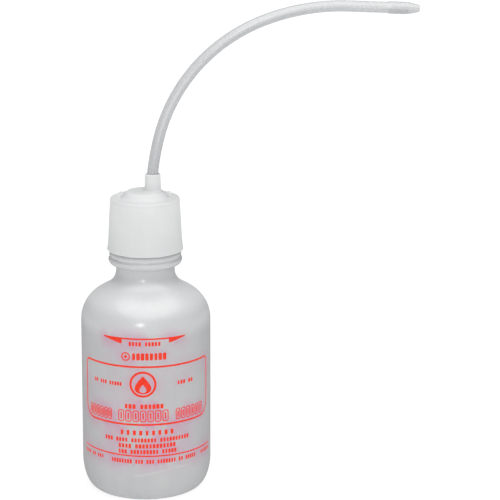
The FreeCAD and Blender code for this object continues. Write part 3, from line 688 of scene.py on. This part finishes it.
# fill mark: a line with a long wedge at each end and a short row under it
stroke([(s, 104.15) for s in np.arange(-27.3, 24.96, 1.35)], 0.95)
shapes.append([(-27.4, 104.6), (-27.1, 103.9), (-15.6, 100.9), (-14.9, 101.1), (-14.9, 104.3), (-15.2, 104.6)])
shapes.append([(25.0, 104.6), (14.2, 104.6), (13.9, 104.3), (13.9, 101.5), (14.5, 101.25), (24.8, 103.9)])
row(-10.5, 8.65, 99.75, 102.35, (4, 5))
# short bold row with a small ring in front of it
ring(-12.5, 93.05, 2.35, 0.75)
disc(-12.5, 93.05, 0.95)
row(-8.6, 12.2, 91.0, 95.4, (8,), cover=0.80, r=0.6)
# frame
stroke(frame_path(-44.6, 45.8, 50.5, 86.8, 3.6, 8.0), 1.15, True)
# ring with a solid drop
ring(-2.1, 75.9, 7.5, 1.35)


def drop(cs, cz, wide, tall):
    """Closed outline of a drop with its point at the top."""
    turns = [TAU * i / 40 for i in range(41)]
    return [(cs + wide * math.sin(t) * abs(math.sin(t / 2)) ** 1.35, cz + tall * math.cos(t)) for t in turns]


bands.append((drop(-2.1, 75.6, 7.0, 5.7), drop(-2.1, 73.3, 2.9, 2.6)))
# short rows left and right of the ring
row(-35.5, -15.2, 74.3, 76.7, (2, 3, 5))
row(19.4, 30.8, 74.3, 76.7, (3, 2))
# middle row, outlined row
row(-13.4, 10.3, 60.5, 63.4, (3, 6), cover=0.80, r=0.4)
outlined(-40.2, -22.0, 52.3, 59.5, 6)
outlined(-17.6, 13.4, 52.3, 59.5, 7)
outlined(18.2, 39.7, 52.3, 59.5, 6)
# rows under the frame
row(-16.2, 16.6, 43.8, 46.9, (1, 1, 1, 1, 1, 1, 1, 1, 1), cover=0.95, r=0.5)
row(-27.0, 27.3, 39.3, 41.9, (3, 4, 8, 10))
row(-17.6, 17.9, 35.5, 38.2, (4, 12))
row(-17.7, 18.5, 31.8, 34.5, (3, 9, 5))
# lowest line and the small rows beneath it
stroke([(s, 31.0 - 1.0 * (s + 47.7) / 98.5) for s in np.arange(-47.7, 50.9, 1.3)], 0.85)
row(-22.6, 33.3, 25.7, 28.3, (8, 3, 3, 7, 2, 5))
row(-47.6, -28.9, 26.3, 28.6, (4, 2, 3))
row(38.6, 50.6, 25.8, 28.0, (6,))


def flat_print():
    bm = bmesh.new()
    for pts in shapes:
        bm.faces.new([bm.verts.new((s, z, 0)) for s, z in pts])
    for left, right in bands:
        a = [bm.verts.new((s, z, 0)) for s, z in left]
        b = [bm.verts.new((s, z, 0)) for s, z in right]
        for i in range(len(a) - 1):
            bm.faces.new((a[i], b[i], b[i + 1], a[i + 1]))
    bmesh.ops.remove_doubles(bm, verts=bm.verts[:], dist=0.0015)
    for f in bm.faces:
        f.normal_update()
        if f.normal.z < 0:
            f.normal_flip()
    return bm


def ink_mesh():
    bm = flat_print()
    for at in np.arange(-52, 53, 1.3):
        bmesh.ops.bisect_plane(bm, geom=bm.verts[:] + bm.edges[:] + bm.faces[:], dist=1e-4, plane_co=(at + 0.017, 0, 0), plane_no=(1, 0, 0))
    for at in np.arange(24, 106, 5.3):
        bmesh.ops.bisect_plane(bm, geom=bm.verts[:] + bm.edges[:] + bm.faces[:], dist=1e-4, plane_co=(0, at + 0.013, 0), plane_no=(0, 1, 0))
    made = bmesh.ops.extrude_face_region(bm, geom=bm.faces[:])
    for v in [g for g in made["geom"] if isinstance(g, bmesh.types.BMVert)]:
        v.co.z = 1.0
    bmesh.ops.recalc_face_normals(bm, faces=bm.faces[:])
    bm.verts.index_update()
    verts = []
    for v in bm.verts:
        theta = -math.pi / 2 + v.co.x / 39.5
        at = np.array([theta])
        r = float((wall_radius(at, v.co.y) - crease(at, v.co.y))[0]) + (0.018 if v.co.z > 0.5 else -0.03)
        verts.append((r * math.cos(theta), r * math.sin(theta), v.co.y))
    faces = [tuple(v.index for v in f.verts) for f in bm.faces]
    bm.free()
    return np.array(verts), faces


def haze_map():
    """How much ink lies near each spot of the wall, blurred, on a 1 mm grid."""
    s0, z0, ns, nz = -60.0, 15.0, 121, 101
    grid = np.zeros((nz * 2, ns * 2))
    zz, ss = np.mgrid[0 : nz * 2, 0 : ns * 2]
    ss, zz = s0 + ss * 0.5, z0 + zz * 0.5
    for pts in shapes:
        a, b = np.min(pts, 0), np.max(pts, 0)
        grid[(ss >= a[0] - 0.2) & (ss <= b[0] + 0.2) & (zz >= a[1] - 0.2) & (zz <= b[1] + 0.2)] = 1
    for left, right in bands:
        for p, q in zip(left, right):
            m = np.add(p, q) / 2
            grid[(np.abs(ss - m[0]) < 0.9) & (np.abs(zz - m[1]) < 0.6)] = 1
    x = np.arange(-24, 25) * 0.5
    kernel = np.exp(-0.5 * (x / 3.6) ** 2)
    kernel /= kernel.sum()
    for axis in (0, 1):
        grid = np.apply_along_axis(lambda v: np.convolve(v, kernel, "same"), axis, grid)
    return grid, s0, z0


def haze_values(verts):
    grid, s0, z0 = haze_map()
    theta = np.arctan2(verts[:, 1], verts[:, 0])
    s = ((theta + math.pi / 2 + math.pi) % TAU - math.pi) * 39.5
    i = (verts[:, 2] - z0) / 0.5
    j = (s - s0) / 0.5
    ok = (i > 0) & (i < grid.shape[0] - 1) & (j > 0) & (j < grid.shape[1] - 1) & (np.hypot(verts[:, 0], verts[:, 1]) > 37)
    out = np.zeros(len(verts))
    ii, jj = i[ok].astype(int), j[ok].astype(int)
    fi, fj = i[ok] - ii, j[ok] - jj
    out[ok] = (
        grid[ii, jj] * (1 - fi) * (1 - fj)
        + grid[ii + 1, jj] * fi * (1 - fj)
        + grid[ii, jj + 1] * (1 - fi) * fj
        + grid[ii + 1, jj + 1] * fi * fj
    )
    return out


verts, faces = bottle_mesh()
# painted highlight along the fold line of the buckle, added into the painted light attribute below
white = fold_highlight(np.arctan2(verts[:, 1], verts[:, 0]), verts[:, 2]) * (np.hypot(verts[:, 0], verts[:, 1]) > 38.6)
bottle = piece(
    "bottle_shell",
    verts,
    faces,
    M_BOTTLE,
    "bottle",
    28,
    # the edge attribute marks the shoulder band where the coat tint is lowered, painted light
    {"print_glow_mask": haze_values(verts), "painted_light": smooth((verts[:, 2] - 100) / 12) + 0.5 * white, "edge": smooth((verts[:, 2] - 114) / 8) * (1 - smooth((verts[:, 2] - 128) / 6))},
)
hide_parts("bottle")
verts, faces = ink_mesh()
ink = piece("wall_print", verts, faces, M_INK, "bottle", 40)


# ---------------------------------------------------------------------------
# Screw cap: one closed skin of rings that run from the boss over the top, down
# the side, up the threaded inside and down the spigot
# ---------------------------------------------------------------------------
def cap_mesh():
    off = 4.8
    boss = soften(
        [(2.15, 182.7), (2.15, 184.0), (3.36, 184.0), (3.36, 195.1), (3.60, 195.96)]
        + arc(4.7 - 0.88, 196.0 - 0.88, 0.88, 90, 0, 8)
        + [(4.9, 186.5)],
        0.16,
    )
    boss = refine(boss, 1.6)
    loop = [(off, r, z, "boss") for r, z in boss]
    # fillet of the boss onto the raised disc, then rings that widen and recentre

    def crown(r):
        return 185.68 - 0.3 * (r / 11.2) ** 2

    start = boss[-1]
    for i in range(1, 6):
        t = i / 5
        # quarter round from the boss side to the disc
        a = math.radians(90 * t)
        r = start[0] + 0.95 * (1 - math.cos(a))
        z = start[1] + (crown(off) - start[1]) * math.sin(a)
        loop.append((off, r, z, "fillet"))
    first = loop[-1][1]
    for i in range(1, 13):
        t = i / 12
        cx = off * (1 - smooth(t)) if t < 1 else 0.0
        r = first + (10.1 - first) * t
        loop.append((float(cx), r, None, "disc"))
    # fine rings over the edge of the disc, the deck, the side and the skirt
    shell = soften(
        [(10.3, crown(10.3)), (10.7, 185.33), (11.05, 185.15), (11.45, 184.80), (11.9, 184.32), (13.5, 182.60)]
        + [(13.95, 182.16), (14.4, 181.84), (14.85, 181.64), (15.3, 181.54)]
        + [(15.6, 181.5), (16.1, 181.5), (16.12, 181.5), (18.58, 181.5), (18.6, 181.5), (19.2, 181.5)]
        + arc(21.0 - 1.05, 181.5 - 1.05, 1.05, 90, 0, 10)
        + [(22.2, 158.0), (22.6, 152.4), (23.05, 149.9), (22.57, 149.42), (20.6, 149.42), (20.6, 157.5), (19.15, 163.2), (19.15, 179.6)]
        + [(14.0, 179.6)],
        0.2,
        keep=((16.1, 181.5), (18.6, 181.5)),
    )
    shell = refine(shell, 1.6)
    shell = refine(shell, 0.28, 163.0, 175.0)
    split = next(i for i, p in enumerate(shell) if p[1] < 176)
    loop += [(0.0, r, z, "shell") for r, z in shell[:split]]
    loop += [(0.0, r, z, "inside" if r < 20.7 and z > 149.6 else "shell") for r, z in shell[split:]]
    # underside of the deck back to the spigot
    for i in range(1, 9):
        t = i / 8
        r = 14.0 + (5.7 - 14.0) * t
        loop.append((float(off * smooth(t)), r, 179.6, "under"))
    spigot = soften(
        [(5.6, 179.6), (5.2, 179.1), (5.2, 165.6), (4.6, 165.0), (3.3, 165.0), (3.3, 181.4), (2.15, 181.4), (2.15, 182.2)], 0.14
    )
    loop += [(off, r, z, "spigot") for r, z in refine(spigot, 2.0)]

    lugs = []
    for centre, half in ((27.5, 8.5), (149, 6)):
        for side in (-6.0, -5.2, -4.4, -2.0, 2.0, 4.4, 5.2, 6.0):
            lugs.append(math.radians(centre + side * half / 6))
    theta = columns(180, lugs)
    n = len(theta)
    verts = []
    for cx, r, z, part in loop:
        rr = np.full(n, float(r))
        if part == "inside" and 163 < z < 175:
            rr -= 1.3 * helix_height(theta, np.full(n, z), 165.05, 4.2333, 1.5, 1.0, 0.45)
        x, y = cx + rr * np.cos(theta), rr * np.sin(theta)
        if z is None:
            zz = crown(np.hypot(x, y))
        else:
            zz = np.full(n, float(z))
        if part == "shell" and abs(z - 181.5) < 0.01 and 15 < r < 19.3:
            lift = float(smooth((r - 16.0) / 0.45) * smooth((18.75 - r) / 0.45))
            for centre in (31, 149):
                away = np.abs((theta - math.radians(centre) + math.pi) % TAU - math.pi)
                zz += 1.58 * lift * smooth((math.radians(half) - away) / math.radians(1.7))
        verts.extend(zip(x, y, zz))
    return np.array(verts), rings(n, len(loop), True)


verts, faces = cap_mesh()
out_by = np.hypot(verts[:, 0], verts[:, 1])
# painted shade: darker towards the bottom of the cap and a little darker on the up-facing top, to hold back the
# light from above
low = 0.35 * (1 - np.clip((verts[:, 2] - 150) / 31, 0, 1))
low = np.maximum(low, 0.16 * smooth((verts[:, 2] - 179.6) / 0.8) * smooth((192 - verts[:, 2]) / 6))
cap = piece("cap_shell", verts, faces, M_CAP, "cap", 34, {"low": low})
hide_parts("screw_cap")


# ---------------------------------------------------------------------------
# Tubing: swept along plane arcs in the plane y = 0
# ---------------------------------------------------------------------------
def route(x, z, heading, runs, step):
    """[(x, z, heading, distance)] along straight runs (length) and arcs (radius, degrees, + turns left)."""
    out = [(x, z, heading, 0.0)]
    for run in runs:
        x, z, heading, dist = out[-1]
        if len(run) == 1:
            n = max(1, math.ceil(run[0] / step))
            for i in range(1, n + 1):
                d = run[0] * i / n
                out.append((x + d * math.cos(heading), z + d * math.sin(heading), heading, dist + d))
        else:
            radius, turn = run[0], math.radians(run[1])
            length = radius * abs(turn)
            n = max(2, math.ceil(length / step))
            sign = 1 if turn > 0 else -1
            cx, cz = x - sign * radius * math.sin(heading), z + sign * radius * math.cos(heading)
            for i in range(1, n + 1):
                h = heading + turn * i / n
                out.append((cx + sign * radius * math.sin(h), cz - sign * radius * math.cos(h), h, dist + length * i / n))
    return out


def tube_mesh(skin, n=40):
    """A closed tube from rings (x, z, heading, radius, distance); the loop runs out along the outside and back inside."""
    verts, around, along = [], [], []
    angle = np.array([TAU * i / n for i in range(n)])
    for x, z, heading, r, dist, tilt in skin:
        nx, nz = -math.sin(heading), math.cos(heading)
        tx, tz = math.cos(heading), math.sin(heading)
        c, s = np.cos(angle), np.sin(angle)
        slide = tilt * r * c
        verts.extend(zip(x + nx * r * c + tx * slide, r * s, z + nz * r * c + tz * slide))
        around.extend(angle)
        along.extend([dist] * n)
    return np.array(verts), rings(n, len(skin), True), {"around": around, "along": along}


SPOUT = route(
    4.8, 184.2, math.pi / 2,
    [(10.8,), (31.0, -7.4), (160.0, -7.2), (102.0, -54.1), (126.5, -23.4), (22.3,)],
    1.6,
)
tip_x, tip_z, tip_h, tip_d = SPOUT[-1]
skin = [(x, z, h, 3.3 - (0.12 if d == 0 else 0.0), d, 0.0) for x, z, h, d in SPOUT if d < tip_d - 0.01]
tip_outer = soften(
    [(0.0, 3.3), (2.5, 3.68), (9.5, 3.68)]
    + [(9.5 + 10.15 * t, 3.68 - 1.73 * (t ** 2.0)) for t in np.linspace(0.1, 1, 14)]
    + [(19.88, 1.72)],
    1.2,
    least=6.0,
)
tip_outer = refine(tip_outer, 0.9)
tip_inner = [(19.88, 1.1), (15.4, 1.35), (15.4, 2.15), (14.62, 2.15), (14.6, 2.6), (2.9, 2.6), (2.88, 2.15), (1.5, 2.15)]
tip_inner = refine(soften(tip_inner, 0.08), 0.9)
for u, r in tip_outer:
    skin.append((tip_x + u * math.cos(tip_h), tip_z + u * math.sin(tip_h), tip_h, r, tip_d + u, 0.0))
for u, r in tip_inner:
    skin.append((tip_x + u * math.cos(tip_h), tip_z + u * math.sin(tip_h), tip_h, r, tip_d + u, 0.0))
skin += [(x, z, h, 2.15, d, 0.0) for x, z, h, d in reversed(SPOUT)]
verts, faces, marks = tube_mesh(skin)
spout = piece("spout_tube", verts, faces, M_TUBE, "spout", 40, marks)
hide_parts("delivery_tube")

DIP = route(4.8, 181.4, -math.pi / 2, [(18.4,), (70.0, 12.0), (1300.0, -6.4)], 2.4)
end = len(DIP) - 1
skin = []
for k, (x, z, h, d) in enumerate(DIP):
    skin.append((x, z, h, 3.28, d, -0.68 if k == end else 0.0))
for k in range(end, -1, -1):
    x, z, h, d = DIP[k]
    skin.append((x, z, h, 2.15, d, -0.68 if k == end else 0.0))
verts, faces, marks = tube_mesh(skin)
dip = piece("dip_pipe", verts, faces, M_TUBE, "cap", 40, marks)
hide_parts("dip_tube")

for node, material in (("cap_liner", M_FOAM), ("arrester_sleeve", M_STEEL), ("arrester_screens", M_STEEL)):
    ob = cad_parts[node]
    ob.data.materials.clear()
    ob.data.materials.append(material)


# ---------------------------------------------------------------------------
# Floor, light and camera
# ---------------------------------------------------------------------------
def floor():
    mat, nt, out = new_material("floor_paper")
    v = coords(nt)
    cloud = noise(nt, v, 0.004, 3, 0.5)
    base = mix(nt, spread(nt, cloud, 0.3, 0.7, 0, 1), (0.25, 0.25, 0.25), (0.27, 0.27, 0.27))
    p = add(nt, "ShaderNodeBsdfPrincipled")
    link(nt, base, p.inputs["Base Color"])
    p.inputs["Emission Color"].default_value = (1, 1, 1, 1)
    p.inputs["Emission Strength"].default_value = 0.81
    p.inputs["Roughness"].default_value = 0.9
    p.inputs["Specular IOR Level"].default_value = 0.1
    link(nt, p.outputs[0], out.inputs["Surface"])
    mesh = bpy.data.meshes.new("floor")
    radii = [0.0, 0.1, 0.3, 1.0, 3.0, 9.0, 30.0]
    n = 64
    pts = [(0.0, 0.0, 0.0)]
    for r in radii[1:]:
        pts += [(r * math.cos(TAU * i / n), r * math.sin(TAU * i / n), 0.0) for i in range(n)]
    faces = [(0, 1 + i, 1 + (i + 1) % n) for i in range(n)]
    faces += [tuple(v + 1 for v in f) for f in rings(n, len(radii) - 1, False)]
    mesh.from_pydata(pts, [], faces)
    mesh.materials.append(mat)
    ob = bpy.data.objects.new("floor", mesh)
    ob.location.z = -0.00015
    scene.collection.objects.link(ob)
    bm = bmesh.new()
    bm.from_mesh(mesh)
    bmesh.ops.recalc_face_normals(bm, faces=bm.faces[:])
    if sum(f.normal.z for f in bm.faces) < 0:
        bmesh.ops.reverse_faces(bm, faces=bm.faces[:])
    bm.to_mesh(mesh)
    bm.free()


def sun(name, azimuth, elevation, angle, strength, colour=(1, 1, 1)):
    """An even soft light from one direction; azimuth 0 is in front of the object, + to +X."""
    a, e = math.radians(azimuth), math.radians(elevation)
    data = bpy.data.lights.new(name, "SUN")
    data.angle = math.radians(angle)
    data.energy = strength
    data.color = colour
    ob = bpy.data.objects.new(name, data)
    at = Vector((math.sin(a) * math.cos(e), -math.cos(a) * math.cos(e), math.sin(e)))
    ob.location = at * 2
    ob.rotation_euler = (-at).to_track_quat("-Z", "Y").to_euler()
    scene.collection.objects.link(ob)


floor()
sun("top_soft", 18, 79, 84, 2.65)
sun("front_small", -10, 19, 10, 0.38)

world = bpy.data.worlds.new("studio")
world.use_nodes = True
background = world.node_tree.nodes["Background"]
background.inputs[0].default_value = (0.97, 0.985, 1.0, 1)
background.inputs[1].default_value = 0.17
scene.world = world

scene.view_settings.view_transform = "Standard"
scene.view_settings.look = "None"
scene.view_settings.exposure = 0.0
scene.view_settings.gamma = 1.0

yaw, pitch, roll = (math.radians(a) for a in (2.913, 14.721, 0.278))
ahead = Vector((math.sin(yaw) * math.cos(pitch), math.cos(yaw) * math.cos(pitch), -math.sin(pitch)))
right = Vector((math.cos(yaw), -math.sin(yaw), 0.0))
up = right.cross(ahead)
right, up = math.cos(roll) * right + math.sin(roll) * up, -math.sin(roll) * right + math.cos(roll) * up
lens = bpy.data.cameras.new("camera")
lens.sensor_width = 36.0
lens.lens = 36.0 * 2137.7 / 500.0
lens.shift_x, lens.shift_y = -0.001, 0.001
lens.clip_start, lens.clip_end = 0.05, 100.0
camera = bpy.data.objects.new("camera", lens)
camera.matrix_world = Matrix(
    (
        (right.x, up.x, -ahead.x, 0.0),
        (right.y, up.y, -ahead.y, -1.25361),
        (right.z, up.z, -ahead.z, 0.47756),
        (0.0, 0.0, 0.0, 1.0),
    )
)
scene.collection.objects.link(camera)
scene.camera = camera
